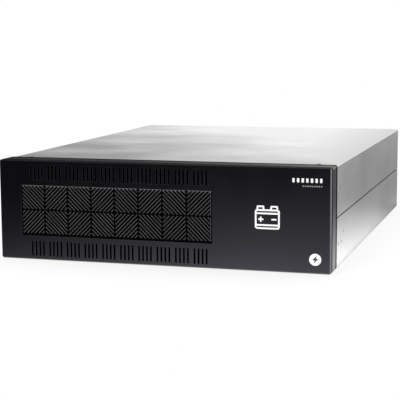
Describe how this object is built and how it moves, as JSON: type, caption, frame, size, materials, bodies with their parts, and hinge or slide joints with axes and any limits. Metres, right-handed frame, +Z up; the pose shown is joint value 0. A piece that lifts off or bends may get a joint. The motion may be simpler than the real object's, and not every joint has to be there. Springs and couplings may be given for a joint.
{
  "type": "server rack battery",
  "caption": "Rack battery cabinet lying flat: sheet steel case, black bezel with diagonal louvre grille and slots, pull-out battery trays, rear sockets and breaker.",
  "frame": {"origin": "on the floor under the middle of the cabinet's overall box", "axes": "+X to the right seen from the front, +Y from the bezel to the rear, +Z up"},
  "size_m": [0.44, 0.62, 0.131],
  "materials": {
    "bezel_plastic": "fine satin moulded black",
    "grille_plastic": "satin moulded dark grey",
    "white_inlay": "white inlay, satin",
    "filter_foam": "open cell foam",
    "catch_plastic": "black moulded",
    "case_steel": "zinc coated sheet, satin",
    "panel_steel": "zinc coated sheet, satin",
    "inner_steel": "zinc coated sheet, dull",
    "tray_steel": "zinc coated sheet, satin",
    "fastener_steel": "bright zinc",
    "handle_metal": "black powder coat",
    "thumb_metal": "nickel plated",
    "battery_plastic": "dark grey moulded",
    "cell_lead": "lead plates",
    "contact_brass": "plain brass",
    "red_insulation": "red insulation",
    "black_insulation": "black insulation",
    "plug_plastic": "dark grey moulded",
    "socket_plastic": "black moulded",
    "breaker_plastic": "light grey moulded",
    "toggle_plastic": "black moulded",
    "holder_plastic": "black moulded",
    "fuse_body": "white tube with plated caps"
  },
  "bodies": {
    "case": {"top_cover": "case_steel", "base_chassis": "case_steel", "rear_panel": "panel_steel", "crossmember": "inner_steel", "guide_rails": "inner_steel", "bezel_catches": "catch_plastic", "ear_nuts": "fastener_steel", "case_screws": "fastener_steel", "dc_breaker": "breaker_plastic", "fuse_holder": "holder_plastic", "fuse": "fuse_body", "socket_contacts": "contact_brass", "ground_stud": "contact_brass", "ground_nut": "fastener_steel", "feed_cables": "red_insulation", "return_cables": "black_insulation", "cable_clips": "catch_plastic", "power_socket_out": "socket_plastic", "power_socket_in": "socket_plastic", "dock_socket_left": "socket_plastic", "dock_socket_right": "socket_plastic"},
    "bezel": {"front_bezel": "bezel_plastic", "grille_insert": "grille_plastic", "dust_filter": "filter_foam", "battery_sign": "white_inlay", "charge_gauge": "white_inlay", "round_badge": "white_inlay"},
    "breaker_lever": {"breaker_toggle": "toggle_plastic"},
    "tray_left_body": {"tray_left": "tray_steel", "tray_handle_left": "handle_metal", "cell_plates_left": "cell_lead", "battery_links_left": "contact_brass", "tray_leads_left": "red_insulation", "tray_plug_left": "plug_plastic", "battery_left_1": "battery_plastic", "battery_left_2": "battery_plastic", "battery_left_3": "battery_plastic", "battery_left_4": "battery_plastic", "battery_left_5": "battery_plastic", "battery_left_6": "battery_plastic", "battery_left_7": "battery_plastic", "battery_left_8": "battery_plastic"},
    "thumb_left_low": {"thumbscrew_left_low": "thumb_metal"},
    "thumb_left_high": {"thumbscrew_left_high": "thumb_metal"},
    "tray_right_body": {"tray_right": "tray_steel", "tray_handle_right": "handle_metal", "cell_plates_right": "cell_lead", "battery_links_right": "contact_brass", "tray_leads_right": "red_insulation", "tray_plug_right": "plug_plastic", "battery_right_1": "battery_plastic", "battery_right_2": "battery_plastic", "battery_right_3": "battery_plastic", "battery_right_4": "battery_plastic", "battery_right_5": "battery_plastic", "battery_right_6": "battery_plastic", "battery_right_7": "battery_plastic", "battery_right_8": "battery_plastic"},
    "thumb_right_low": {"thumbscrew_right_low": "thumb_metal"},
    "thumb_right_high": {"thumbscrew_right_high": "thumb_metal"}
  },
  "joints": [
    {"name": "bezel_slide", "type": "slide", "parent": "case", "child": "bezel", "axis": [0, -1, 0], "range_m": [0, 0.64]},
    {"name": "tray_left_slide", "type": "slide", "parent": "case", "child": "tray_left_body", "axis": [0, -1, 0], "range_m": [0, 0.44]},
    {"name": "thumbscrew_left_low_spin", "type": "hinge", "parent": "tray_left_body", "child": "thumb_left_low", "pos_m": [-0.2085, -0.284, 0.028], "axis": [0, -1, 0], "continuous": true},
    {"name": "thumbscrew_left_high_spin", "type": "hinge", "parent": "tray_left_body", "child": "thumb_left_high", "pos_m": [-0.2085, -0.284, 0.1], "axis": [0, -1, 0], "continuous": true},
    {"name": "tray_right_slide", "type": "slide", "parent": "case", "child": "tray_right_body", "axis": [0, -1, 0], "range_m": [0, 0.44]},
    {"name": "thumbscrew_right_low_spin", "type": "hinge", "parent": "tray_right_body", "child": "thumb_right_low", "pos_m": [0.2085, -0.284, 0.028], "axis": [0, -1, 0], "continuous": true},
    {"name": "thumbscrew_right_high_spin", "type": "hinge", "parent": "tray_right_body", "child": "thumb_right_high", "pos_m": [0.2085, -0.284, 0.1], "axis": [0, -1, 0], "continuous": true},
    {"name": "breaker_lever_hinge", "type": "hinge", "parent": "case", "child": "breaker_lever", "pos_m": [0.07, 0.286, 0.067], "axis": [0, 0, 1], "range_deg": [-56, 0]}
  ],
  "couplings": [
    {"joint": "tray_left_slide", "follows": "bezel_slide", "ratio": 0.6875},
    {"joint": "tray_right_slide", "follows": "bezel_slide", "ratio": 0.6875}
  ]
}
